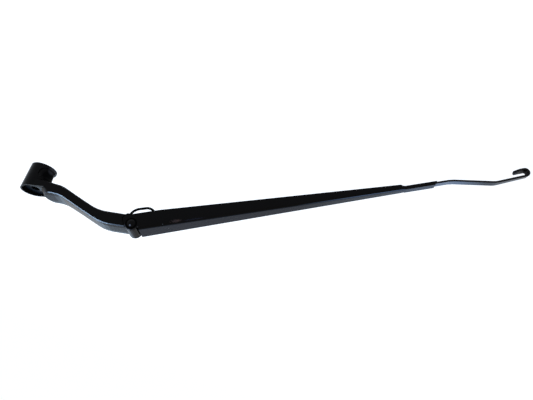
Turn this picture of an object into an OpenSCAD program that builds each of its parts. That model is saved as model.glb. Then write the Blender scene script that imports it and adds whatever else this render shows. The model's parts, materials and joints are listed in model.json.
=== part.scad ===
// Sprung windscreen wiper arm: cast head, stamped channel, flat bar with a J hook.
// Origin: spindle axis at the nut seat. +Z points away from the glass, +X along the arm.
// The arm is drawn in its free state, pulled past the glass side by its own spring.

/* [Head boss] */
// Diameter of the boss at its outer rim
boss_d = 29; // [27:0.5:34]
// Diameter of the skirt at the glass side
skirt_d = 27.2; // [26:0.2:32]
// Height of the boss from rim to skirt edge, on its axis
boss_h = 27.2; // [25:0.2:34]
// Depth of the nut recess below the rim, on its axis
recess_depth = 2.8; // [2.2:0.2:5]
// Slant of the rim, lower toward the neck
rim_slant = 7.5; // [0:0.5:9]
// Diameter of the nut recess
recess_d = 25.6; // [20:0.2:26]
// Diameter of the spindle bore
bore_d = 9.2; // [8:0.1:12]
// Thickness of metal under the nut
seat_t = 11; // [8:0.5:14]
// Diameter of the hollow inside the skirt
hollow_d = 20; // [16:0.5:21]
// Depth of the scoop under the neck's root
scoop_depth = 1.6; // [1:0.1:2]
// Radius of the scoop's rounded end, seen from the side
scoop_r = 7.2; // [6:0.1:7.6]

/* [Neck] */
// Width where the neck leaves the boss
root_w = 28.2; // [24:0.2:29]
// Outer face height above the nut seat, projected to the spindle axis
root_z = 7.7; // [7:0.1:10]
// Thickness of the neck beside the boss
root_t = 10.7; // [9:0.1:12]
// Rise of the outer face over its sloping stretch
neck_rise = 22.7; // [16:0.1:26]
// Steepness gained by the sloping stretch
neck_slope = 0.438; // [0.35:0.001:0.5]
// Fall of the two level stretches toward the hook
neck_fall = 0.0756; // [0:0.0001:0.12]
// Distance from the spindle to the foot of the slope
slope_start = 32.5; // [30:0.5:40]
// Width of the bevel along the outer edges
bevel = 1.8; // [0.6:0.1:2.6]
// Radius of the neck's rounded end beside the nut recess, seen from outside
nose_r = 15.3; // [14.6:0.1:18]

/* [Hinge] */
// Distance of the hinge axis from the spindle axis
hinge_x = 114.7; // [105:0.1:130]
// Height of the hinge axis above the nut seat
hinge_z = 17.7; // [14:0.1:22]
// Angle by which the free arm droops toward the glass
droop = 23.9; // [10:0.1:30]
// Radius of the channel's ears and of the knuckle
knuckle_r = 6.9; // [6:0.1:7]
// Diameter of the hinge rivet
pin_d = 5; // [4:0.1:5.6]
// Diameter of the rivet's domed head
dome_d = 9.2; // [8:0.1:11]
// Height of the rivet's domed head
dome_h = 2.1; // [1:0.1:3]
// Outer diameter of the flanged bushes
bush_d = 7.2; // [6.6:0.1:8]
// Thickness of the bush flange
flange_t = 0.8; // [0.5:0.1:1.2]

/* [Channel] */
// Width of the channel at the hinge
channel_w = 23.6; // [20:0.2:26]
// Width of the channel before its tail
channel_end_w = 11.2; // [10.4:0.1:13]
// Depth of the side walls at the hinge
channel_h = 17.5; // [15:0.5:20]
// Depth of the side walls before the tail
channel_end_h = 5.7; // [5:0.1:8]
// Distance from the hinge to the end of the deep channel
channel_l = 278; // [240:1:320]
// Length of the crimped tail
tail_l = 36; // [25:1:50]
// Thickness of the sheet
sheet_t = 1.2; // [0.8:0.1:1.6]
// Outer radius of the channel's bends
bend_r = 2.8; // [1.7:0.1:3.2]

/* [Extension bar] */
// Width of the bar
bar_w = 7.6; // [6:0.1:8]
// Thickness of the bar
bar_t = 2.2; // [1.8:0.1:3]
// Length of bar from the crimp to its first bend
bar_first_l = 11; // [8:1:30]
// Length of bar between its two bends
bar_mid_l = 46.5; // [30:0.5:60]
// Length of bar from its second bend to the hook
bar_last_l = 38; // [25:0.5:50]
// First bend, away from the glass
bend_out = 12.4; // [0:0.1:20]
// Second bend, toward the glass
bend_in = 16.3; // [0:0.1:20]
// Twist of the bar toward its hook
bar_twist = 9; // [0:1:15]
// Inner height of the J hook's gap
hook_gap = 4.8; // [4.6:0.1:7]
// Length of the J hook's free limb
hook_limb = 11.5; // [10:0.5:20]

/* [Spring gear] */
// Link pin from the hinge, along the channel
link_x = -3.2; // [-4:0.1:-2.6]
// Link pin from the hinge, toward the glass
link_z = -8.8; // [-9.4:0.1:-8.6]
// Diameter of the link pin
link_pin_d = 3.4; // [3:0.1:3.6]
// Diameter of the link's wire
link_wire = 2.2; // [1.8:0.1:2.4]
// Distance between the link's two eyes
link_l = 26.8; // [25:0.1:28]
// Outer diameter of the spring
spring_d = 7.6; // [6.5:0.1:8]
// Diameter of the spring's wire
spring_wire = 1.3; // [1:0.1:1.4]
// Number of turns in the spring
spring_turns = 46; // [30:1:50]
// Distance of the spring's far hook from the hinge
anchor_x = 118; // [105:1:130]

/* [Hidden] */

// Clearances
press = 0.02;
running = 0.05;
side_play = 0.1;
link_play = 0.1;
crimp_play = 0.05;
through = 1;

// Paint and metal
black_paint = [0.07, 0.07, 0.08];
bare_zinc = [0.62, 0.63, 0.65];
nylon = [0.82, 0.80, 0.74];
spring_steel = [0.30, 0.30, 0.31];

// Widths across the hinge, from the outside in
half_w = channel_w / 2;
ear_in = half_w - sheet_t;
knuckle_half = ear_in - side_play - flange_t;
bore_r = bush_d / 2 + press;
ear_play = 0.9;
nose_land = 0.1;
rim_z = recess_depth;

// The neck's root: narrowing inside the boss, and fillet on the glass side
root_tuck = 0.4;
root_fillet = 2.8;
nose_flare = 3.4;
nose_wall = 4.6;
nose_bevel = 0.8;

// Place of the scoop under the fillet
scoop_x = 9.7;
scoop_kink = 0.2;
scoop_z = root_z - root_t - root_fillet - scoop_r - 0.9;

// Heights of the channel about the hinge axis
face_z = knuckle_r + 0.6;
plate_z = face_z - sheet_t;
plate_x = knuckle_r - 0.5;
flat_l = 30;
tail_x = channel_l + 4;
tail_end = tail_x + tail_l;
tail_w = bar_w + 2 * (sheet_t + crimp_play);
lip_t = 0.5;
tail_h = sheet_t + bar_t + 2 * crimp_play + lip_t;

// Lobe at the glass side of each ear, the free arm's stop
lobe_r = 4;
lobe_x = -4;
lobe_z = face_z - channel_h + lobe_r;
lobe_off = norm([lobe_x, lobe_z]);
lobe_a = 360 + atan2(lobe_z, lobe_x);
lobe_tangent = lobe_a - acos((knuckle_r - lobe_r) / lobe_off);
lobe_sweep = lobe_off + lobe_r + 0.4;

// Room and walls round the link's slot, its pin and the groove in the knuckle
eye_room = 0.7;
slot_room = 0.2;
groove_room = 0.5;
groove_wall = 1.1;
lug_wall = 2.1;
neck_lap = 3.4;
skirt_edge = 0.8;

// Bush sleeve and flange, and the rivet's set head
sleeve_inset = 1.5;
flange_inset = 0.8;
set_h = 1.3;
set_inset = 0.8;

// Edges of the crimped tail and of the bar, and the metal round the spring's hole
tail_bevel = 1.2;
tail_lip_l = 2.3;
tail_edge = 0.5;
bar_edge = 0.35;
hole_room = 1.2;
hole_wall = 1.5;

// Bow of the wire link, and the lead from the spring's loops to its turns
bow_depth = 12.7;
bow_r = 6.5;
left_a = 52;
right_a = 62;
loop_lead = 1.3;

// Line of the spring
link_r = link_pin_d / 2 + link_play + link_wire / 2;
tab_z = 0.6;
anchor_dx = anchor_x - link_x;
anchor_dz = tab_z - link_z;
spring_angle = atan2(anchor_dz, anchor_dx);
spring_span = norm([anchor_dx, anchor_dz]);

// Facets of swept pieces
ring_sides = 5;
turn_steps = 9;

// Smooth ramp: zero before 0, the line u after 0, rounded within r of 0
function soft(u, r) = u < -r ? 0 : u > r ? u : pow(u + r, 2) / (4 * r);
// Smooth step from 0 to 1 between a and b
function ease(x, a, b) = let (t = max(0, min(1, (x - a) / (b - a)))) t * t * (3 - 2 * t);

// Outer face and glass side of the neck at distance x from the spindle
slope_end = slope_start + neck_rise / neck_slope;
function neck_top(x) =
    root_z - neck_fall * x + neck_slope * (soft(x - slope_start, 7) - soft(x - slope_end, 9));
under_start = slope_start - 1.5;
under_end = under_start + (neck_rise - 2.6) / neck_slope;
function neck_under(x) = root_z - root_t - neck_fall * x - root_fillet * (1 - ease(x, 8, 26))
    + neck_slope * (soft(x - under_start, 7) - soft(x - under_end, 9));
function neck_w(x) = root_w + (channel_w - root_w) * ease(x, 30, 56)
    - root_tuck * (1 - ease(x, 0, 9));

// Half of the neck's section, from the middle of the outer face to the middle of the glass side
crown = 0.35;
under_edge = 1.2;
function neck_half(x) = let (w = neck_w(x) / 2, t = neck_top(x), u = neck_under(x))
    [[w * 0.5, t + crown * 0.7], [w - bevel, t], [w - 0.3 * bevel, t - 0.35 * bevel],
     [w, t - bevel], [w, u + under_edge], [w - under_edge, u]];
function mirrored(half) =
    concat(half, [for (i = [len(half) - 1:-1:0]) [-half[i][0], half[i][1]]]);

// Closed body skinned over rings of equal length, the first and last ring as caps
module skin(rings) {
    n = len(rings[0]);
    m = len(rings);
    points = [for (r = rings) each r];
    sides = [for (j = [0:m - 2], i = [0:n - 1]) let (a = j * n + i, b = j * n + (i + 1) % n)
        each [[a, b, b + n], [a, b + n, a + n]]];
    caps = [[for (i = [n - 1:-1:0]) i], [for (i = [0:n - 1]) (m - 1) * n + i]];
    polyhedron(points = points, faces = concat(sides, caps), convexity = 8);
}

// Frame of the channel: hinge axis at the origin, outer face toward +Z
module in_arm() {
    translate([hinge_x, 0, hinge_z]) rotate([0, droop, 0]) children();
}

// Frame of the spring line: link pin at the origin, spring along +X
module in_line() {
    in_arm() translate([link_x, 0, link_z]) rotate([0, -spring_angle, 0]) children();
}

// Round bar across the arm, from y0 to y1
module across(r, y0, y1) {
    translate([0, y1, 0]) rotate([90, 0, 0]) cylinder(r = r, h = y1 - y0, $fn = 64);
}

// Boss before its rim and its bores are cut
module boss_blank() {
    edge_z = rim_z - boss_h;
    top_z = rim_z + boss_d / 2 * tan(rim_slant) + through;
    rotate_extrude($fn = 96)
        polygon([[0, edge_z], [skirt_d / 2 - skirt_edge, edge_z], [skirt_d / 2, edge_z + skirt_edge],
                 [boss_d / 2, top_z], [0, top_z]]);
}

// All that stands above the slanted rim, up to the neck's rounded and bevelled end
module above_rim() {
    nose_x = recess_d / 2 + nose_land + nose_r;
    nose_z = neck_top(nose_x);
    difference() {
        translate([0, 0, rim_z]) rotate([0, rim_slant, 0])
            translate([-boss_d, -boss_d, 0]) cube([boss_d + nose_x, 2 * boss_d, boss_h]);
        translate([nose_x, 0, nose_z]) rotate([0, atan(neck_fall), 0]) rotate_extrude($fn = 96)
            polygon([[0, -boss_h], [nose_r + nose_flare, -boss_h],
                     [nose_r + nose_flare, -nose_wall], [nose_r, -nose_bevel],
                     [nose_r - nose_bevel, 0], [nose_r - nose_bevel - through, through],
                     [0, through]]);
    }
}

// Scoop under the neck's root: round from the side, shallow in the skirt, open toward the hook
module scoop() {
    low_z = scoop_z - scoop_r + scoop_kink;
    wall_r = skirt_d / 2 - scoop_depth;
    fillet_r = 8;
    fillet_z = scoop_z + scoop_r - fillet_r;
    difference() {
        union() {
            translate([scoop_x, 0, scoop_z]) across(scoop_r, -boss_d, boss_d);
            translate([scoop_x, -boss_d, low_z])
                cube([boss_d, 2 * boss_d, 2 * (scoop_r - scoop_kink)]);
        }
        rotate_extrude($fn = 96)
            polygon(concat([[0, -2 * boss_h], [wall_r, -2 * boss_h]],
                           [for (a = [0:12:60]) [wall_r + fillet_r * (1 - cos(a)),
                                                 fillet_z + fillet_r * sin(a)]],
                           [[wall_r + fillet_r, through], [0, through]]));
    }
}

// Neck swept from the boss to the knuckle
module neck() {
    steps = 22;
    start_x = 1;
    end_x = hinge_x - neck_lap;
    skin([for (i = [0:steps]) let (x = start_x + (end_x - start_x) * i / steps)
        [for (p = mirrored(neck_half(x))) [x, p[0], p[1]]]]);
}

// Rounded end of an ear with its lobe, grown by extra, from y0 to y1
module ear_end(extra, y0, y1) {
    n = [cos(lobe_tangent), sin(lobe_tangent)];
    centre = [lobe_x, lobe_z];
    across(knuckle_r + extra, y0, y1);
    translate([lobe_x, 0, lobe_z]) across(lobe_r + extra, y0, y1);
    translate([0, y1, 0]) rotate([90, 0, 0]) linear_extrude(height = y1 - y0)
        polygon([[0, 0], (knuckle_r + extra) * n, centre + (lobe_r + extra) * n, centre]);
}

// Space in the head for one ear: its own shape, and the sweep of its lobe as the arm lifts
module ear_room() {
    y0 = knuckle_half;
    y1 = half_w + through;
    in_arm() ear_end(ear_play, y0, y1);
    in_arm() translate([0, y1, 0]) rotate([90, 0, 0]) rotate([0, 0, lobe_a + 6])
        rotate_extrude(angle = 100, $fn = 96) square([lobe_sweep, y1 - y0]);
}

module arm_head() {
    eye_half = link_wire / 2 + eye_room;
    slot_half = eye_half + slot_room;
    lug_r = link_pin_d / 2 + lug_wall;
    color(black_paint)
    difference() {
        union() {
            boss_blank();
            neck();
            in_arm() across(knuckle_r, -knuckle_half, knuckle_half);
            in_arm() translate([link_x, 0, link_z]) across(lug_r, -knuckle_half, knuckle_half);
        }
        scoop();
        above_rim();
        // Nut recess, spindle bore and skirt hollow
        cylinder(d = recess_d, h = boss_h, $fn = 96);
        translate([0, 0, -boss_h]) cylinder(d = bore_d, h = 2 * boss_h, $fn = 96);
        translate([0, 0, -seat_t - boss_h]) cylinder(d = hollow_d, h = boss_h, $fn = 96);
        // Room for the two ears beside the knuckle
        ear_room();
        mirror([0, 1, 0]) ear_room();
        // Bore for the bushes
        in_arm() across(bore_r, -half_w, half_w);
        // Bore for the link pin
        in_arm() translate([link_x, 0, link_z])
            across(link_pin_d / 2 + press, -half_w, half_w);
        // Slot for the link, with a groove round the knuckle
        in_arm() translate([link_x, 0, link_z])
            across(link_r + link_wire / 2 + groove_room, -eye_half, eye_half);
        in_arm() rotate([90, 0, 0]) translate([0, 0, -slot_half])
            rotate([0, 0, -150]) rotate_extrude(angle = 190, $fn = 96)
                translate([bore_r + groove_wall, 0]) square([knuckle_r, 2 * slot_half]);
    }
}

// Flanged bush: flange at the side of the knuckle, sleeve inside it
module hinge_bush(side) {
    sleeve_l = knuckle_half - sleeve_inset;
    color(nylon)
    in_arm() mirror([0, side > 0 ? 0 : 1, 0])
    difference() {
        union() {
            across(bush_d / 2, knuckle_half - sleeve_l, knuckle_half + flange_t);
            across(knuckle_r - flange_inset, knuckle_half, knuckle_half + flange_t);
        }
        across(pin_d / 2 + running, 0, half_w);
    }
}
module hinge_bush_near() { hinge_bush(1); }
module hinge_bush_far() { hinge_bush(-1); }

module link_pin() {
    color(bare_zinc)
    in_arm() translate([link_x, 0, link_z])
        across(link_pin_d / 2, -knuckle_half + 1, knuckle_half - 1);
}

// Rivet through both ears: domed head on the near side, set head on the far side
module hinge_pin() {
    dome_r = (pow(dome_d / 2, 2) + pow(dome_h, 2)) / (2 * dome_h);
    color(black_paint)
    in_arm() rotate([-90, 0, 0]) rotate_extrude($fn = 64) {
        square([pin_d / 2, half_w]);
        translate([0, -half_w]) square([pin_d / 2, half_w]);
        intersection() {
            translate([0, half_w + dome_h - dome_r]) circle(r = dome_r, $fn = 96);
            translate([0, half_w]) square([dome_d / 2, dome_h]);
        }
        translate([0, -half_w - set_h]) square([dome_d / 2 - set_inset, set_h]);
    }
}

// Width and depth of the deep channel at distance x from the hinge
function channel_w_at(x) =
    channel_w + (channel_end_w - channel_w) * max(0, x - 12) / (channel_l - 12);
function channel_h_at(x) =
    channel_h + (channel_end_h - channel_h) * max(0, x - flat_l) / (channel_l - flat_l);

// Section of a channel blank: round upper corners, straight lower edge
function blank_section(x, w, low, high, r) =
    concat([for (a = [90:-18:0]) [x, w - r + r * cos(a), high - r + r * sin(a)]],
           [[x, w, low], [x, -w, low]],
           [for (a = [180:-18:90]) [x, -w + r + r * cos(a), high - r + r * sin(a)]]);

// Outside of the deep channel with its step down to the tail
module channel_outside() {
    stations = [plate_x, 12, flat_l, channel_l, channel_l + 1, channel_l + 2.2, channel_l + 4];
    drop = [0, 0, 0, 0, 0.25, 0.8, 1];
    skin([for (i = [0:len(stations) - 1]) let (
        x = stations[i],
        w = channel_w_at(min(x, channel_l)) / 2 * (1 - drop[i]) + tail_w / 2 * drop[i],
        h = channel_h_at(min(x, channel_l)) * (1 - drop[i]) + tail_h * drop[i])
        blank_section(x, w, face_z - h, face_z, bend_r)]);
}

// Inside of the deep channel, open toward the glass
module channel_inside() {
    stations = [plate_x - through, 12, flat_l, channel_l - 6, tail_x + through];
    low = face_z - channel_h - through;
    inner_r = bend_r - sheet_t;
    tail_r = 0.3;
    skin([for (x = stations) let (
        w = x > channel_l ? tail_w / 2 - sheet_t : channel_w_at(x) / 2 - sheet_t,
        r = inner_r + (tail_r - inner_r) * ease(x, flat_l, channel_l - 6))
        blank_section(x, w, low, plate_z, r)]);
}

// Flat ear beside the knuckle, from its rounded end to the start of the bends
module ear() {
    low_z = face_z - channel_h;
    overlap = 1;
    ear_end(0, ear_in, half_w);
    translate([lobe_x, ear_in, low_z])
        cube([plate_x + overlap - lobe_x, sheet_t, lobe_r + overlap]);
    translate([0, ear_in, low_z + overlap])
        cube([plate_x + overlap, sheet_t, channel_h - bend_r - overlap]);
}

// Tail folded round the bar
module channel_tail() {
    low = face_z - tail_h;
    w = tail_w / 2;
    inner = w - sheet_t;
    difference() {
        translate([tail_x, 0, 0]) rotate([90, 0, 90]) linear_extrude(height = tail_l)
            polygon([[-w, low + tail_edge], [-w, face_z - tail_bevel], [-w + tail_bevel, face_z],
                     [w - tail_bevel, face_z], [w, face_z - tail_bevel], [w, low + tail_edge],
                     [w - tail_edge, low], [inner - tail_lip_l, low], [inner - tail_lip_l, low + lip_t],
                     [inner, low + lip_t], [inner, plate_z], [-inner, plate_z],
                     [-inner, low + lip_t], [-inner + tail_lip_l, low + lip_t], [-inner + tail_lip_l, low],
                     [-w + tail_edge, low]]);
        // Bevelled end
        translate([tail_end, 0, low - through]) rotate([0, -38, 0])
            translate([0, -tail_w, 0]) cube([tail_w, 2 * tail_w, 3 * tail_h]);
    }
}

module channel() {
    color(black_paint)
    in_arm() difference() {
        union() {
            difference() {
                channel_outside();
                channel_inside();
            }
            channel_tail();
            ear();
            mirror([0, 1, 0]) ear();
        }
        across(pin_d / 2 + press, -half_w - through, half_w + through);
    }
}

// Path walked as straight and turning moves, each [length, turn in degrees], in steps
function walked(moves, x, z, heading, i = 0) = i == len(moves) ? [] : let (
    l = moves[i][0],
    turn = moves[i][1],
    steps = max(1, ceil(abs(turn) / 15)),
    chord = turn == 0 ? l : l * sin(abs(turn) / steps / 2) / (abs(turn) / steps / 2 * PI / 180),
    made = [for (k = [1:steps]) let (
        hs = [for (j = [1:k]) heading + turn * (j - 0.5) / steps],
        part = turn == 0 ? l : chord / steps)
        [x + part * sum([for (h = hs) cos(h)]), z + part * sum([for (h = hs) sin(h)]),
         heading + turn * k / steps]],
    last = made[steps - 1])
    concat(made, walked(moves, last[0], last[1], heading + turn, i + 1));
function sum(v, i = 0) = i == len(v) ? 0 : v[i] + sum(v, i + 1);

// Flat bar: tab with the spring's hole, joggle up to the plate, bends, twist and J hook
module extension_bar() {
    bar_z = plate_z - crimp_play - bar_t / 2;
    hole_d = spring_wire + hole_room;
    loop_r = (spring_d - spring_wire) / 2;
    loop_sag = loop_r - sqrt(pow(loop_r, 2) - pow(bar_t / 2, 2)) + bar_t / 2 * tan(spring_angle);
    hole_x = anchor_x - spring_wire / 2 - loop_sag - running + hole_d / 2;
    tab_start = hole_x - hole_d / 2 - hole_wall;
    tab_l = 10;
    joggle = 24;
    joggle_r = 6;
    joggle_arc = joggle_r * joggle * PI / 180;
    joggle_rise = bar_z - tab_z;
    joggle_flat = (joggle_rise - 2 * joggle_r * (1 - cos(joggle))) / sin(joggle);
    joggle_l = 2 * joggle_r * sin(joggle) + joggle_flat * cos(joggle);
    plain_l = tail_end + bar_first_l - tab_start - tab_l - joggle_l;
    bend_len = 6;
    hook_r = (hook_gap + bar_t) / 2;
    hook_turn = 178;
    curl = 12;
    tip_taper = 0.6;
    moves = [[tab_l, 0], [joggle_arc, joggle], [joggle_flat, 0], [joggle_arc, -joggle],
             [plain_l, 0], [bend_len, bend_out], [bar_mid_l - bend_len, 0],
             [bend_len, -bend_in], [bar_last_l - bend_len, 0],
             [hook_r * hook_turn * PI / 180, -hook_turn],
             [hook_limb * 0.4, 0], [hook_limb * 0.6, -curl]];
    path = concat([[tab_start, tab_z, 0]], walked(moves, tab_start, tab_z, 0));
    twist_from = tail_end + bar_first_l + bar_mid_l - 4;
    w = bar_w / 2;
    t = bar_t / 2;
    section = [[w - bar_edge, t], [w, t - bar_edge], [w, bar_edge - t], [w - bar_edge, -t],
               [bar_edge - w, -t], [-w, bar_edge - t], [-w, t - bar_edge], [bar_edge - w, t]];
    color(black_paint)
    in_arm() difference() {
        skin([for (i = [0:len(path) - 1]) let (
            p = path[i],
            q = bar_twist * ease(p[0], twist_from, twist_from + 24),
            f = i == len(path) - 1 ? tip_taper : 1)
            [for (s = section) let (
                side = f * s[0] * cos(q) - s[1] * sin(q),
                up = s[0] * sin(q) + s[1] * cos(q))
                [p[0] - up * sin(p[2]), side, p[1] + up * cos(p[2])]]]);
        // Hole for the spring's hook
        translate([hole_x, 0, tab_z - bar_t]) cylinder(d = hole_d, h = 2 * bar_t, $fn = 48);
    }
}

// Bent wire in the XZ plane: an arc round (x, z) from angle a0 to a1
module wire_arc(x, z, r, a0, a1, wire) {
    translate([x, 0, z]) rotate([90, 0, 0]) rotate([0, 0, min(a0, a1)])
        rotate_extrude(angle = abs(a1 - a0), $fn = 96)
            translate([r, 0]) circle(d = wire, $fn = 32);
}

// Straight wire in the XZ plane between two points
module wire_line(p, q, wire) {
    d = q - p;
    translate([p[0], 0, p[1]]) rotate([0, 90 - atan2(d[1], d[0]), 0])
        cylinder(d = wire, h = norm(d), $fn = 32);
}

// Knee where two stretches of wire meet, a hair fuller than the wire
module wire_knee(p, wire) {
    translate([p[0], 0, p[1]]) sphere(d = 1.03 * wire, $fn = 32);
}

// Wire link bowed round the knuckle: one eye on the link pin, one hook on the spring
module spring_link() {
    hook_r = spring_wire / 2 + link_play + link_wire / 2;
    // Left eye: the wire goes round the pin, away from the spring, and leaves downward
    leave = 180 + 90 - left_a;
    start = link_r * [cos(leave), sin(leave)];
    left_run = [cos(left_a), -sin(left_a)];
    left_centre_z = -bow_depth + bow_r;
    left_l = (left_centre_z - bow_r * cos(left_a) - start[1]) / left_run[1];
    left_end = start + left_l * left_run;
    left_centre = left_end + bow_r * [sin(left_a), cos(left_a)];
    // Right hook: the wire comes up outside the spring's loop and closes over it
    join = -90 + right_a;
    end = [link_l, 0] + hook_r * [cos(join), sin(join)];
    right_run = [cos(right_a), sin(right_a)];
    right_l = (left_centre_z - bow_r * cos(right_a) - end[1]) / -right_run[1];
    right_start = end - right_l * right_run;
    right_centre = right_start + bow_r * [-sin(right_a), cos(right_a)];
    color(spring_steel)
    in_line() {
        wire_arc(0, 0, link_r, 60, leave, link_wire);
        wire_line(start, left_end, link_wire);
        wire_arc(left_centre[0], left_centre[1], bow_r, 180 + 90 - left_a, 270, link_wire);
        wire_line([left_centre[0], -bow_depth], [right_centre[0], -bow_depth], link_wire);
        wire_arc(right_centre[0], right_centre[1], bow_r, 270, 270 + right_a, link_wire);
        wire_line(right_start, end, link_wire);
        wire_arc(link_l, 0, hook_r, join, 165, link_wire);
        for (p = [start, left_end, [left_centre[0], -bow_depth], [right_centre[0], -bow_depth],
                  right_start, end])
            wire_knee(p, link_wire);
    }
}

// Close-wound tension spring with a loop at each end
module tension_spring() {
    mean_r = (spring_d - spring_wire) / 2;
    near_x = link_l + mean_r;
    far_x = spring_span - mean_r;
    swing = 20;
    first = near_x + loop_lead;
    last = far_x - loop_lead;
    // The near loop lies across the arm and the far loop stands in its plane
    first_a = 180 + swing;
    sweep_a = 360 * spring_turns + 90 - 2 * swing;
    steps = round(sweep_a / 360 * turn_steps);
    near_loop = [for (a = [100:17:270])
        [[near_x + mean_r * cos(a), mean_r * sin(a), 0], [near_x, 0, 0]]];
    helix = [for (k = [0:steps]) let (
        x = first + (last - first) * k / steps,
        a = first_a + sweep_a * k / steps)
        [[x, mean_r * cos(a), mean_r * sin(a)], [x, 0, 0]]];
    far_loop = [for (a = [-90:17:80])
        [[far_x + mean_r * cos(a), 0, mean_r * sin(a)], [far_x, 0, 0]]];
    path = concat(near_loop, helix, far_loop);
    n = len(path);
    color(spring_steel)
    in_line() skin([for (i = [0:n - 1]) let (
        p = path[i][0],
        t = path[min(i + 1, n - 1)][0] - path[max(i - 1, 0)][0],
        f = t / norm(t),
        side = cross(f, p - path[i][1]),
        v = side / norm(side),
        u = cross(v, f))
        [for (s = [0:ring_sides - 1]) let (a = -360 * s / ring_sides)
            p + spring_wire / 2 * (cos(a) * u + sin(a) * v)]]);
}

arm_head();
hinge_bush_near();
hinge_bush_far();
link_pin();
hinge_pin();
channel();
extension_bar();
spring_link();
tension_spring();
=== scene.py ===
# %% [markdown]
# # A windscreen wiper arm
#
# The cast head, the folded channel, the flat bar and the pins come in as solids
# with their true sizes. This script paints them, sweeps the wire of the spring
# and of its link as smooth tubes, and sets up a small studio round them.
# Everything is in metres in one frame: the spindle's nut seat is the origin,
# +X runs along the arm and +Z points away from the glass.

import json

import bpy
import numpy as np
from mathutils import Matrix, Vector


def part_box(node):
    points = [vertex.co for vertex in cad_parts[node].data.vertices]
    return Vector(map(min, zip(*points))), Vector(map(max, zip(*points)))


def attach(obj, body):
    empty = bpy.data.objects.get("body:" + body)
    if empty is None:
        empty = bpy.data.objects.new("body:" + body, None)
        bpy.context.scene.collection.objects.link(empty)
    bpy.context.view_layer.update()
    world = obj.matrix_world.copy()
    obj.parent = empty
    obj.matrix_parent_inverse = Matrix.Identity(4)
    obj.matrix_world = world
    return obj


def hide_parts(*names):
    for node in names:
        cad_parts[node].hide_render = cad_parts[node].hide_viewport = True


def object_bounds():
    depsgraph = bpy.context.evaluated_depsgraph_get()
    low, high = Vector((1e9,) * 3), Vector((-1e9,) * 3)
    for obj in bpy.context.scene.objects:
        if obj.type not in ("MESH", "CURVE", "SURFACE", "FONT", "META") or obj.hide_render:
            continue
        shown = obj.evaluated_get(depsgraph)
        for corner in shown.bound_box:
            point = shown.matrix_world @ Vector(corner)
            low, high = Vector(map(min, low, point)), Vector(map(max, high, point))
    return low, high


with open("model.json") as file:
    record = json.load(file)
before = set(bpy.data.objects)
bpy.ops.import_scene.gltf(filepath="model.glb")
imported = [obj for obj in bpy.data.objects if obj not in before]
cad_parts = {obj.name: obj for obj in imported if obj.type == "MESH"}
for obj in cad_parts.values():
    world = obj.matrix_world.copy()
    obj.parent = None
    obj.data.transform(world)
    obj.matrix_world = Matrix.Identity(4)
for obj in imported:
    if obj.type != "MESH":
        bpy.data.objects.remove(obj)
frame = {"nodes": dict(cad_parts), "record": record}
cad_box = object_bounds()
solids = frame["nodes"]
joints = {joint["name"]: joint for joint in frame["record"]["behaviour"]["joints"]}
print("solids:", ", ".join(sorted(solids)))
print("joints:", ", ".join(joints))

# %% [markdown]
# ## Writing materials
#
# A material is a small graph of nodes. Writing the graph through one short
# helper keeps each recipe readable: add() makes a node and fills its sockets,
# and whatever is itself a node or a socket becomes a link. A ramp turns any
# measure, such as a height or a noise, into a mask between 0 and 1.

# %% Helpers for materials
class Recipe:
    """A node graph under construction, for a material or for the world."""

    def __init__(self, owner):
        owner.use_nodes = True
        self.owner = owner
        self.tree = owner.node_tree
        self.tree.nodes.clear()

    def add(self, kind, settings=None, **sockets):
        """Makes a node. A socket goes by its name, with _ for a space, or by its number: i0 is the first."""
        made = self.tree.nodes.new("ShaderNode" + kind)
        for key, value in (settings or {}).items():
            setattr(made, key, value)
        for key, value in sockets.items():
            numbered = key[0] == "i" and key[1:].isdigit()
            self.fill(made.inputs[int(key[1:]) if numbered else key.replace("_", " ")], value)
        return made

    def fill(self, socket, value):
        """Links a node or a socket, and writes in a number, a direction or a colour."""
        if isinstance(value, bpy.types.Node):
            value = value.outputs[0]
        if isinstance(value, bpy.types.NodeSocket):
            self.tree.links.new(value, socket)
        elif socket.type == "RGBA":
            socket.default_value = (*value, 1.0)
        else:
            socket.default_value = value

    def math(self, operation, a, b=0.0):
        return self.add("Math", {"operation": operation}, i0=a, i1=b).outputs[0]

    def vector(self, operation, a, b=(0.0, 0.0, 0.0)):
        """The node of a vector sum. Its Vector output is a direction, and its Value a length or a product."""
        return self.add("VectorMath", {"operation": operation}, i0=a, i1=b)

    def times(self, *factors):
        """All factors multiplied together."""
        product = factors[0]
        for factor in factors[1:]:
            product = self.math("MULTIPLY", product, factor)
        return product

    def mix(self, mask, a, b):
        """Colour a where the mask is 0 and colour b where it is 1."""
        return self.add("Mix", {"data_type": "RGBA"}, i0=mask, i6=a, i7=b).outputs[2]

    def ramp(self, value, zero, one):
        """0 at one value and beyond, 1 at the other and beyond, and a straight climb between the two."""
        return self.add("MapRange", Value=value, From_Min=zero, From_Max=one).outputs[0]

    def stretch(self, value, low, high):
        """Takes 0 to 1 over to low to high."""
        return self.add("MapRange", Value=value, To_Min=low, To_Max=high).outputs[0]

    def noise(self, scale, detail=4.0):
        """Soft noise with this many cells a metre."""
        return self.add("TexNoise", Vector=self.where, Scale=scale, Detail=detail, Roughness=0.55).outputs[0]

    def finish(self, shader, output="OutputMaterial"):
        self.add(output, Surface=shader)
        return self.owner


def new_material(name):
    """A new material's recipe, which knows where each point is on its piece and which way it faces."""
    r = Recipe(bpy.data.materials.new(name))
    point = r.add("TexCoord").outputs
    r.where = point["Object"]
    r.at = r.add("SeparateXYZ", Vector=r.where).outputs
    r.facing = r.add("SeparateXYZ", Vector=point["Normal"]).outputs
    return r


def dress(obj, material):
    """Puts the material on every slot of the object, or on a first slot where it has none."""
    if not obj.material_slots:
        obj.data.materials.append(material)
    for place in obj.material_slots:
        place.material = material


print("helpers ready")

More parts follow.
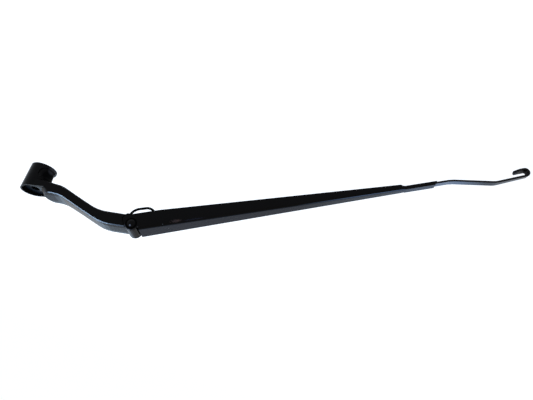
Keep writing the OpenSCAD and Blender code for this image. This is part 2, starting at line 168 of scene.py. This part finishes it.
# %% [markdown]
# ## Black paint
#
# Stoving paint on cast and folded metal is never quite even. Its sides are nearly black, and what faces up
# gets a thin bluish painted sheen, which stands in for the sky mirrored in it. The normal's Z tells how far a
# point faces up, and it is taken on the piece itself, so the painted sheen turns with the arm when the arm is
# lifted.

# %% Coat and painted sheen
COATS = ((0.0026, 0.0020, 0.0019), (0.0040, 0.0032, 0.0031))  # two near-blacks that drift into each other
DRIFT, MOTTLE = 40.0, 220.0  # cells a metre
SHEEN_FACES_UP = (0.74, 0.90)  # the normal's Z where the painted sheen starts and where it is full
BEFORE_HOOK = (0.490, 0.485)  # X over which the painted sheen and the bevels' painted highlights come in; the hook itself stays black


def coat_with_painted_sheen(r, tones, span):
    """Near-black paint with the painted sheen over it, in one tone before the span along X and another after
    it.
    """
    coat = r.mix(r.ramp(r.noise(DRIFT), 0.35, 0.7), *COATS)
    patchy = r.times(r.math("SUBTRACT", r.noise(MOTTLE), 0.5), 0.10)
    # painted sheen: a lighter bluish tone on what faces up
    sheen = r.ramp(r.math("ADD", r.facing["Z"], patchy), *SHEEN_FACES_UP)
    sheen = r.times(sheen, r.ramp(r.at["X"], *BEFORE_HOOK))
    return r.mix(sheen, coat, r.mix(r.ramp(r.at["X"], *span), *tones))


print("bloom runs from", SHEEN_FACES_UP[0], "to", SHEEN_FACES_UP[1], "of straight up")

# %% [markdown]
# The bevels between the outer face and the sides get a lighter tone, a painted highlight along them. They lean
# sideways, so the size of the normal's Y picks them out: the mask is full where it says 20 to 29 degrees, and
# fades out on both sides.

# %% Painted highlights on the bevels
LEAN_FROM = (0.22, 0.34)  # sideways part of the normal where a bevel starts
LEAN_TO = (0.60, 0.48)  # and where it has ended
BEVEL_UP = (0.60, 0.75)
PAST_CUP = (0.014, 0.020)  # X where the bevels begin


def bevels(r):
    """1 on the slanted edges between the arm's outer face and its sides, 0 elsewhere."""
    lean = r.math("ABSOLUTE", r.facing["Y"])
    return r.times(r.ramp(lean, *LEAN_FROM), r.ramp(lean, *LEAN_TO), r.ramp(r.facing["Z"], *BEVEL_UP),
                   r.ramp(r.at["X"], *BEFORE_HOOK), r.ramp(r.at["X"], *PAST_CUP))


print("bevels lean", LEAN_FROM[0], "to", LEAN_TO[0])

# %% [markdown]
# A mark is a soft spot: 1 at its centre, falling to 0 at its radius, with noise
# added before it is cut off, which leaves a ragged outline. Counting the
# distance in other lengths along the arm than across it turns it into a scuff.

# %% Scuffs and chips
ARM_SLOPE = (0.914, 0.0, -0.405)  # direction of the channel's outer face
SCUFFS = [  # centre, length, width, and the two tones that change about inside it
    ((0.1569, 0.0110, 0.0042), 0.0095, 0.0026, (0.095, 0.052, 0.042), (0.045, 0.032, 0.031)),
    ((0.1739, 0.0104, -0.0023), 0.0180, 0.0013, (0.010, 0.011, 0.019), (0.016, 0.017, 0.026)),
]
SCUFF_EDGE = (0.38, 0.62)
CHIPS = [  # centre and radius
    ((0.1453, 0.0114, 0.0109), 0.0009),
    ((0.1297, 0.0110, 0.0219), 0.0008),
    ((0.1497, 0.0016, 0.0104), 0.0008),
    ((0.2009, 0.0060, -0.0123), 0.0007),
    ((0.0100, 0.0128, -0.0038), 0.0008),
    ((0.0890, 0.0090, 0.0240), 0.0008),
]
# a painted highlight on the lower edge of the rivet's dome
RIVET_GLINT = [((0.1146, 0.0131, 0.0203), 0.0014)]
DARK_CHIP = [((0.2307, 0.0012, -0.0255), 0.0014)]
SPOTS = [  # places, tone, and the heights of the spot where its edge starts and ends
    (CHIPS, (0.16, 0.16, 0.17), (0.45, 0.6)),
    (RIVET_GLINT, (0.28, 0.29, 0.33), (0.3, 0.8)),
    (DARK_CHIP, (0.004, 0.004, 0.004), (0.45, 0.6)),
]
RAGGED, DAPPLE, GRAIN = 1100.0, 700.0, 2500.0  # cells a metre


def spot(r, centre, radius):
    """1 at the centre and 0 at the radius: one less the distance counted in radii."""
    far = r.vector("LENGTH", r.vector("SUBTRACT", r.where, centre)).outputs["Value"]
    return r.math("SUBTRACT", 1.0, r.math("DIVIDE", far, radius))


def streak(r, centre, length, width):
    """A stretched spot: its distance is the root of (along / length) squared plus (across / width) squared."""
    away = r.vector("SUBTRACT", r.where, centre)
    along = r.vector("DOT_PRODUCT", away, ARM_SLOPE).outputs["Value"]
    along = r.times(along, along)
    across = r.math("SUBTRACT", r.vector("DOT_PRODUCT", away, away).outputs["Value"], along)
    far = r.math("ADD", r.math("DIVIDE", along, length ** 2), r.math("DIVIDE", across, width ** 2))
    return r.math("SUBTRACT", 1.0, r.math("SQRT", far))


def marked(r, tone):
    """The tone with scuffs, chips and the rivet's painted glint over it."""
    ragged = r.times(r.math("SUBTRACT", r.noise(RAGGED, 3.0), 0.5), 1.8)
    for centre, length, width, pale, dark in SCUFFS:
        scuffed = r.ramp(r.math("ADD", streak(r, centre, length, width), ragged), *SCUFF_EDGE)
        tone = r.mix(scuffed, tone, r.mix(r.ramp(r.noise(DAPPLE), 0.4, 0.6), pale, dark))
    grain = r.times(r.noise(GRAIN, 2.0), 0.3)
    for places, mark_tone, edge in SPOTS:
        highest = spot(r, *places[0])
        for place in places[1:]:
            highest = r.math("MAXIMUM", highest, spot(r, *place))
        tone = r.mix(r.ramp(r.math("ADD", highest, grain), *edge), tone, mark_tone)
    return tone


print(len(SCUFFS), "scuffs,", sum(len(places) for places, _, _ in SPOTS), "spots")

# %% [markdown]
# Painted shade darkens the scoop under the neck and a ring round the rivet's head. The ears' round ends get a
# painted highlight on top, and the lip of the skirt beyond the scoop gets a pale painted reflection. The
# hinge's place comes from the joint in the record.

# %% Painted shade, highlight and reflection
HINGE_X, _, HINGE_Z = joints["arm_lift"]["pos_m"]
EAR_SIDE = (0.0105, 0.0112)  # distance from the arm's middle plane where the ears' outer sides begin
# a painted shadow in a ring round the rivet's head
SHADOW_RING = (0.0050, (0.0013, 0.0006))  # radius, and how far off it the ring ends and is full
# a painted highlight on top of the ears' round ends
RIM_HIGHLIGHT = (0.0067, (0.0006, 0.0002))
# painted shade in the scoop under the neck
SHADED_HOLLOW = ((0.0112, 0.0050, -0.0125), 0.0105)  # centre and radius
# a pale painted reflection on the lip of the skirt beyond the scoop
LIP_REFLECTION = ((0.0121, 0.0052, -0.0215), 0.0062)
# the tone of the painted shade
SHADE_TONE = (0.0009, 0.0008, 0.0008)
# the tone of the lip's painted reflection
LIP_REFLECTION_TONE = (0.048, 0.043, 0.044)
# the tone of the ears' painted highlight
RIM_HIGHLIGHT_TONE = (0.100, 0.105, 0.120)


def ring(r, off_axis, radius, edge):
    """1 on the ears' outer sides at this radius round the hinge, and 0 a little off it."""
    off_ring = r.math("ABSOLUTE", r.math("SUBTRACT", off_axis, radius))
    return r.times(r.ramp(off_ring, *edge), r.ramp(r.math("ABSOLUTE", r.at["Y"]), *EAR_SIDE))


def shaded_and_lit(r, tone):
    """The tone with painted shade, the lip's painted reflection and the ears' painted highlight over it, and
    the mask of the painted shade.
    """
    dx, dz = r.math("SUBTRACT", r.at["X"], HINGE_X), r.math("SUBTRACT", r.at["Z"], HINGE_Z)
    off_axis = r.math("SQRT", r.math("ADD", r.times(dx, dx), r.times(dz, dz)))
    # painted shade in the scoop and round the rivet; its mask also roughens the paint
    hollow_shade = r.ramp(spot(r, *SHADED_HOLLOW), 0.0, 0.4)
    painted_shade = r.math("MAXIMUM", ring(r, off_axis, *SHADOW_RING), hollow_shade)
    tone = r.mix(painted_shade, tone, SHADE_TONE)
    # the pale painted reflection on the skirt's lip
    tone = r.mix(r.ramp(spot(r, *LIP_REFLECTION), 0.1, 0.4), tone, LIP_REFLECTION_TONE)
    # the painted highlight on top of the ears' round ends
    ear_top = r.times(r.ramp(dz, 0.002, 0.004), r.ramp(dx, 0.002, 0.0))
    return r.mix(r.times(ring(r, off_axis, *RIM_HIGHLIGHT), ear_top), tone, RIM_HIGHLIGHT_TONE), painted_shade


print("hinge at", HINGE_X, HINGE_Z)

# %% [markdown]
# The three paints are the same recipe with other numbers. Each gives two tones for its painted sheen and two
# for the painted highlights on its bevels, for the near and the far side of a span along X, because the light
# falls differently on the head, the channel's tail and the bar. Orange peel is a fine noise used as bump, and
# shine is how much the paint mirrors, where fresh gloss paint has 0.5.

# %% Three black paints
CLOUD = 120.0  # cells a metre of the slow changes of gloss
PEEL_DEPTH = 0.0002
# roughness added where the painted shade lies
SHADE_DULLS = 0.65


def black_paint(name, roughness, shine, ripple, dents, sheen_tones, sheen_span, highlight_tones, highlight_span, polish=0.0):
    """The arm's paint with all its marks, its painted sheen, painted highlights and painted shade. Polish
    makes the bevels partly metallic.
    """
    r = new_material(name)
    edge = bevels(r)
    # painted highlights along the bevels, over the painted sheen
    tone = r.mix(edge, coat_with_painted_sheen(r, sheen_tones, sheen_span), r.mix(r.ramp(r.at["X"], *highlight_span), *highlight_tones))
    tone, painted_shade = shaded_and_lit(r, marked(r, tone))
    gloss = r.stretch(r.noise(CLOUD), roughness - 0.05, roughness + 0.07)
    rough = r.math("ADD", gloss, r.times(painted_shade, SHADE_DULLS))
    peel = r.add("Bump", Height=r.noise(ripple, 2.0), Strength=dents, Distance=PEEL_DEPTH)
    paint = r.add("BsdfPrincipled", Base_Color=tone, Roughness=rough, Metallic=r.times(edge, polish),
                  Normal=peel, Specular_IOR_Level=shine)
    return r.finish(paint)


# Each paint's first pair of tones is its painted sheen, and its second pair the painted highlights on its
# bevels, set along X as the light falls on each part.
HEAD_SHEEN = (0.0080, 0.0112, 0.0165)
cast_paint = black_paint(
    "cast head paint", roughness=0.24, shine=0.05, ripple=450.0, dents=0.12, polish=0.15,
    sheen_tones=(HEAD_SHEEN, HEAD_SHEEN), sheen_span=(0.09, 0.12),
    highlight_tones=((0.135, 0.165, 0.205), (0.070, 0.092, 0.125)), highlight_span=(0.09, 0.12))
sheet_paint = black_paint(
    "channel paint", roughness=0.26, shine=0.045, ripple=650.0, dents=0.25,
    sheen_tones=((0.0108, 0.0158, 0.0262), (0.054, 0.073, 0.110)), sheen_span=(0.350, 0.385),
    highlight_tones=((0.004, 0.005, 0.006), (0.155, 0.195, 0.260)), highlight_span=(0.270, 0.330))
bar_paint = black_paint(
    "bar paint", roughness=0.28, shine=0.10, ripple=800.0, dents=0.25,
    sheen_tones=((0.205, 0.255, 0.340), (0.028, 0.037, 0.056)), sheen_span=(0.428, 0.456),
    highlight_tones=((0.205, 0.255, 0.340), (0.090, 0.120, 0.170)), highlight_span=(0.43, 0.47))
print("paints:", cast_paint.name, "/", sheet_paint.name, "/", bar_paint.name)

# %% [markdown]
# ## Metal and nylon
#
# The link's pin is zinc plated, the bushes are natural nylon, and the spring
# and its link are oiled steel wire. They mostly hide inside the channel, but
# each has its own finish for anyone who looks there.

# %% Zinc, nylon and oiled wire
SKIN_DEPTH = 0.0001  # metres of bump
STREAKS, CLOUDS = 1760.0, 160.0  # cells a metre


def plated_metal(name, colour, roughness):
    """Metal whose roughness and brightness change slowly, with fine drawn streaks as bump."""
    r = new_material(name)
    cloud = r.noise(CLOUDS)
    tone = r.mix(cloud, [c * 0.75 for c in colour], [c * 1.15 for c in colour])
    bump = r.add("Bump", Height=r.noise(STREAKS, 2.0), Strength=0.15, Distance=SKIN_DEPTH)
    rough = r.stretch(cloud, roughness - 0.08, roughness + 0.10)
    return r.finish(r.add("BsdfPrincipled", Base_Color=tone, Roughness=rough, Metallic=1.0, Normal=bump))


def nylon(name, shade, light):
    """Milky plastic that drifts between two tones."""
    r = new_material(name)
    bump = r.add("Bump", Height=r.noise(1500.0), Strength=0.1, Distance=SKIN_DEPTH)
    tone = r.mix(r.noise(200.0), shade, light)
    return r.finish(r.add("BsdfPrincipled", Base_Color=tone, Roughness=0.45, Normal=bump))


def oiled_wire(name, bare, oily):
    """Blackened spring wire under a film of oil, with patches where the film is thicker and duller."""
    r = new_material(name)
    film = r.ramp(r.noise(300.0), 0.35, 0.65)
    bump = r.add("Bump", Height=r.noise(2600.0, 2.0), Strength=0.12, Distance=SKIN_DEPTH)
    return r.finish(r.add("BsdfPrincipled", Base_Color=r.mix(film, bare, oily), Normal=bump,
                          Roughness=r.stretch(film, 0.30, 0.48), Specular_IOR_Level=0.012))


zinc = plated_metal("zinc plate", (0.55, 0.56, 0.58), 0.35)
spring_steel = oiled_wire("oiled spring steel", (0.0022, 0.0020, 0.0020), (0.0070, 0.0062, 0.0058))
bush_nylon = nylon("bush nylon", (0.62, 0.58, 0.50), (0.74, 0.70, 0.62))
print("finishes:", zinc.name, "/", spring_steel.name, "/", bush_nylon.name)

# %% Dress the solids
finishes = {
    "arm_head": cast_paint, "hinge_pin": cast_paint, "channel": sheet_paint, "extension_bar": bar_paint,
    "hinge_bush_near": bush_nylon, "hinge_bush_far": bush_nylon, "link_pin": zinc,
}
for name, material in finishes.items():
    dress(solids[name], material)
print("dressed", len(finishes), "solids")

# %% [markdown]
# ## Round wire
#
# The solids of the spring and its link have few flat sides to their wire,
# enough to measure but not to look at. Here the wire is swept again as smooth
# tubes. A tube is the same circle set square to its centre line at every point.
# Each ring needs two directions square to the line: the first is the line's way
# crossed with a slanted direction that the line never runs along, and the
# second is square to both.

# %% A tube along a line
SLANT = (1.0, 1.0, 1.0)


def tube(line, wire_r, sides):
    """Points and faces of a tube: centre + r (u cos a + v sin a) for every angle a, and a cap at each end."""
    ahead = np.gradient(line, axis=0)
    ahead /= np.linalg.norm(ahead, axis=1)[:, None]
    u = np.cross(ahead, SLANT)
    u /= np.linalg.norm(u, axis=1)[:, None]
    v = np.cross(ahead, u)
    a = np.linspace(0, 2 * np.pi, sides, endpoint=False)[None, :, None]
    points = (line[:, None] + wire_r * (np.cos(a) * u[:, None] + np.sin(a) * v[:, None])).reshape(-1, 3)
    rings = len(line)
    k, j = np.meshgrid(np.arange(rings - 1), np.arange(sides), indexing="ij")
    beside = (j + 1) % sides
    corners = [k * sides + j, k * sides + beside, (k + 1) * sides + beside, (k + 1) * sides + j]
    faces = np.stack(corners, axis=-1).reshape(-1, 4).tolist()
    first, last = list(range(sides - 1, -1, -1)), list(range((rings - 1) * sides, rings * sides))
    return points, faces + [first, last]


print("a tube of 3 rings has", len(tube(np.eye(3), 0.1, 8)[1]), "faces")

# %% [markdown]
# A wire is drawn in the spring's own frame, with the link's pin at its origin
# and the spring along its X. The pin's place and the spring's way come from the
# joints. The finished piece rides on its body and hides the plain solid.

# %% A wire piece
LINK_PIN = np.array(joints["link_swing"]["pos_m"])
SPRING_WAY = np.array(joints["spring_stretch"]["axis"])
SIDE_WAY = np.array((0.0, 1.0, 0.0))
SPRING_FRAME = np.stack([SPRING_WAY, SIDE_WAY, np.cross(SPRING_WAY, SIDE_WAY)])


def wire_piece(name, line, wire_r, sides, body, solid):
    """A smooth tube along a line of the spring's frame, in place of a solid."""
    points, faces = tube(LINK_PIN + line @ SPRING_FRAME, wire_r, sides)
    mesh = bpy.data.meshes.new(name)
    mesh.from_pydata(points.tolist(), [], faces)
    mesh.shade_smooth()
    piece = bpy.data.objects.new(name, mesh)
    bpy.context.scene.collection.objects.link(piece)
    dress(piece, spring_steel)
    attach(piece, body)
    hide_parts(solid)
    cad_low, cad_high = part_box(solid)
    print(solid, np.round(cad_low, 4), np.round(cad_high, 4))
    print(name, points.min(0).round(4), points.max(0).round(4), len(faces), "faces")


print("spring runs along", SPRING_WAY, "from", LINK_PIN)

# %% [markdown]
# The spring's turns lie on a cylinder: for a turn angle a, the point is
# (x, R cos a, R sin a), with x climbing by one pitch each turn. A loop is added
# at each end, one lying across the arm and one standing upright.

# %% Smooth spring
LINK_L = 0.0268  # from the link's pin to the spring's near end, in the link's hook
SPRING_END = 0.121562  # from the link's pin to the spring's far end
SPRING_R = 0.00315  # from the spring's axis to the middle of its wire
SPRING_TURNS = 46
SPRING_WIRE_R = 0.00065
LOOP_LEAD = 0.0013  # from a loop's middle to the first or last turn, along the spring
LOOP_SWING = np.radians(20.0)  # what each lead takes off the turns' angle
LOOP_POINTS, TURN_POINTS = 16, 22


def spring_line():
    """Centre line of the near loop, the close turns and the far loop."""
    near_x, far_x = LINK_L + SPRING_R, SPRING_END - SPRING_R
    loop = np.radians(np.linspace(100.0, 262.0, LOOP_POINTS))
    near = np.stack([near_x + SPRING_R * np.cos(loop), SPRING_R * np.sin(loop), 0 * loop], axis=1)
    t = np.linspace(0.0, 1.0, SPRING_TURNS * TURN_POINTS)
    a = np.pi + LOOP_SWING + (2 * np.pi * SPRING_TURNS + np.pi / 2 - 2 * LOOP_SWING) * t
    x = near_x + LOOP_LEAD + (far_x - near_x - 2 * LOOP_LEAD) * t
    turns = np.stack([x, SPRING_R * np.cos(a), SPRING_R * np.sin(a)], axis=1)
    loop = np.radians(np.linspace(-82.0, 80.0, LOOP_POINTS))
    far = np.stack([far_x + SPRING_R * np.cos(loop), 0 * loop, SPRING_R * np.sin(loop)], axis=1)
    return np.concatenate([near, turns, far])


wire_piece("smooth_spring", spring_line(), SPRING_WIRE_R, 12, "spring", "tension_spring")

# %% [markdown]
# The link is one bent wire: an eye closed round its pin, a leg, a long bow that
# clears the knuckle, and a hook that holds the spring. Its centre line is made
# of straight runs whose corners are rounded. Where the line turns by t, the
# rounding starts r tan(t / 2) before the corner and is an arc of radius r.

# %% Arcs and corners
def arc(centre, radius, start, end, count):
    """Points of a circle from one angle to another, in degrees."""
    a = np.radians(np.linspace(start, end, count))
    return np.asarray(centre) + radius * np.stack([np.cos(a), np.sin(a)], axis=1)


def rounded_corner(corner, way_in, way_out, radius, count):
    """The arc that turns way_in into way_out to the left and touches both."""
    turn = np.arccos(way_in @ way_out)
    first = corner - way_in * radius * np.tan(turn / 2)
    centre = first + radius * np.array((-way_in[1], way_in[0]))
    start = np.degrees(np.arctan2(*(first - centre)[::-1]))
    return arc(centre, radius, start, start + np.degrees(turn), count)


quarter = rounded_corner(np.array((1.0, 0.0)), np.array((1.0, 0.0)), np.array((0.0, 1.0)), 0.5, 3)
print("a corner at (1, 0), rounded by 0.5:", quarter.round(3).tolist())

# %% Wire link
EYE_R = 0.0031  # from the pin's middle to the wire's
HOOK_R = 0.00205
NEAR_DROP, FAR_DROP = 0.01157, 0.01244  # depth of the bow's two corners below the spring's line
NEAR_LEAN, FAR_LEAN = 57.25, 60.24  # how steeply the two legs run, in degrees
NEAR_R, FAR_R = 0.0119, 0.0091  # radii of the bow's corners
EYE_START, HOOK_END = 60.0, 165.0  # angles where the wire is cut off
ARC_POINTS, CORNER_POINTS = 24, 20
LINK_WIRE_R = 0.0013


def link_line():
    """Centre line in the arm's middle plane: eye, near leg, bow, far leg, hook."""
    a, b = np.radians(NEAR_LEAN), np.radians(FAR_LEAN)
    down, climb = np.array((np.cos(a), -np.sin(a))), np.array((np.cos(b), np.sin(b)))
    leave = EYE_R * np.array((-np.sin(a), -np.cos(a)))
    meet = np.array((LINK_L, 0.0)) + HOOK_R * np.array((np.sin(b), -np.cos(b)))
    near_corner = leave + down * (leave[1] + NEAR_DROP) / np.sin(a)
    far_corner = meet - climb * (meet[1] + FAR_DROP) / np.sin(b)
    base = (far_corner - near_corner) / np.linalg.norm(far_corner - near_corner)
    flat = np.concatenate([
        arc((0, 0), EYE_R, EYE_START, 270 - NEAR_LEAN, ARC_POINTS),
        rounded_corner(near_corner, down, base, NEAR_R, CORNER_POINTS),
        rounded_corner(far_corner, base, climb, FAR_R, CORNER_POINTS),
        arc((LINK_L, 0), HOOK_R, FAR_LEAN - 90, HOOK_END, ARC_POINTS),
    ])
    return np.stack([flat[:, 0], 0 * flat[:, 0], flat[:, 1]], axis=1)


wire_piece("smooth_link", link_line(), LINK_WIRE_R, 16, "link", "spring_link")

# %% [markdown]
# ## Studio
#
# The floor lies just under the arm's lowest point. What the camera looks at
# glows nearly white and keeps the arm's own shadow, while light that bounces
# off it finds plain pale grey. The floor is so large that no edge shows.

# %% Floor
FLOOR_GAP = 0.004
FLOOR_REACH = 80.0
SHADOW_GREY, GLOW = 0.45, 0.86  # what the camera sees: a grey that takes the shadow, and light of its own
BOUNCE_GREY = 0.8


def looked_at(r):
    """1 for a ray of the camera, straight, mirrored or through glass, and 0 for light that bounces about."""
    ray = r.add("LightPath").outputs
    mirrored = r.math("MAXIMUM", ray["Is Glossy Ray"], ray["Is Transmission Ray"])
    return r.math("MAXIMUM", ray["Is Camera Ray"], mirrored)


floor_z = cad_box[0][2] - FLOOR_GAP
corners = [(x * FLOOR_REACH, y * FLOOR_REACH, floor_z) for x, y in ((-1, -1), (1, -1), (1, 1), (-1, 1))]
floor_mesh = bpy.data.meshes.new("studio floor")
floor_mesh.from_pydata(corners, [], [(0, 1, 2, 3)])
floor = bpy.data.objects.new("studio_floor", floor_mesh)
bpy.context.scene.collection.objects.link(floor)
r = Recipe(bpy.data.materials.new("pale floor"))
shadowed = r.add("BsdfDiffuse", Color=[SHADOW_GREY] * 3)
glow = r.add("Emission", Color=(1, 1, 1), Strength=GLOW)
bounce = r.add("BsdfDiffuse", Color=[BOUNCE_GREY] * 3)
bright = r.add("AddShader", i0=shadowed, i1=glow)
dress(floor, r.finish(r.add("MixShader", i0=looked_at(r), i1=bounce, i2=bright)))
print("floor at", round(floor_z, 4), "m")

# %% [markdown]
# The light comes from above and from behind the arm, as the camera sees it. A
# wide key lamp lights the upper faces and draws the bright lines along the
# bevels. Two low lamps stand behind the neck and behind the bar, where these
# two mirror them. A lamp and the camera are stood up the same way: three
# directions, square to each other, and a place.

# %% Lamps
SKY = (0.66, 0.83, 1.0)
DUSK = (0.42, 0.70, 1.0)


def stand(obj, right, up, back, place):
    """Puts an object at a place, turned so that its X, Y and Z run along three directions."""
    obj.matrix_world = Matrix([[right[i], up[i], back[i], place[i]] for i in range(3)] + [[0, 0, 0, 1]])
    bpy.context.scene.collection.objects.link(obj)


def soft_lamp(name, place, target, width, height, watts, colour):
    """A rectangular lamp at a place, facing a target."""
    lamp = bpy.data.lights.new(name, "AREA")
    lamp.shape = "RECTANGLE"
    lamp.size, lamp.size_y = width, height
    lamp.energy = watts
    lamp.color = colour
    back = np.array(place) - np.array(target)
    back /= np.linalg.norm(back)
    right = np.cross((0, 0, 1), back)
    right /= np.linalg.norm(right)
    stand(bpy.data.objects.new(name, lamp), right, np.cross(back, right), back, place)
    print(name, watts, "W")


soft_lamp("key_lamp", (-0.60, -0.41, 0.92), (0.06, 0, 0), 0.35, 0.80, 10, SKY)
soft_lamp("back_left", (-0.35, -1.10, 0.27), (0.07, 0, 0), 0.6, 0.25, 0.9, DUSK)
soft_lamp("back_right", (1.00, -1.15, 0.17), (0.40, 0, -0.1), 0.7, 0.3, 1.0, SKY)

# %% Air
AIR = (0.62, 0.76, 1.0)  # bluish light from all round
AIR_STRENGTH = 0.5

world = bpy.data.worlds.new("studio air")
r = Recipe(world)
light = r.add("Background", Color=AIR, Strength=AIR_STRENGTH)
white = r.add("Background", Color=(1, 1, 1), Strength=1.0)
r.finish(r.add("MixShader", i0=looked_at(r), i1=light, i2=white), "OutputWorld")
bpy.context.scene.world = world
print("air of", AIR_STRENGTH, "for the light, and white to look at")

# %% [markdown]
# ## Camera
#
# The photograph was taken close up with the arm's far end away from the lens,
# and it is shown upside down: up in the picture is toward the glass. The
# camera stands where the picture's vanishing lines put it.

# %% Camera
SENSOR = 36.0  # millimetres
LENS_WIDTHS = 583.0 / 533.0  # focal length in picture widths
CAMERA_PLACE = (0.30157, 0.54656, 0.20474)
FORWARD = np.array((-0.10525, -0.90443, -0.41344))
PICTURE_UP = np.array((-0.21784, 0.42662, -0.87781))

camera_data = bpy.data.cameras.new("camera")
camera_data.sensor_width = SENSOR
camera_data.lens = SENSOR * LENS_WIDTHS
camera_data.clip_start = 0.01
camera = bpy.data.objects.new("camera", camera_data)
stand(camera, np.cross(FORWARD, PICTURE_UP), PICTURE_UP, -FORWARD, CAMERA_PLACE)
bpy.context.scene.camera = camera
bpy.context.scene.view_settings.view_transform = "Standard"
print("lens", round(camera_data.lens, 2), "mm")

# %% Sizes
print("CAD box", cad_box)
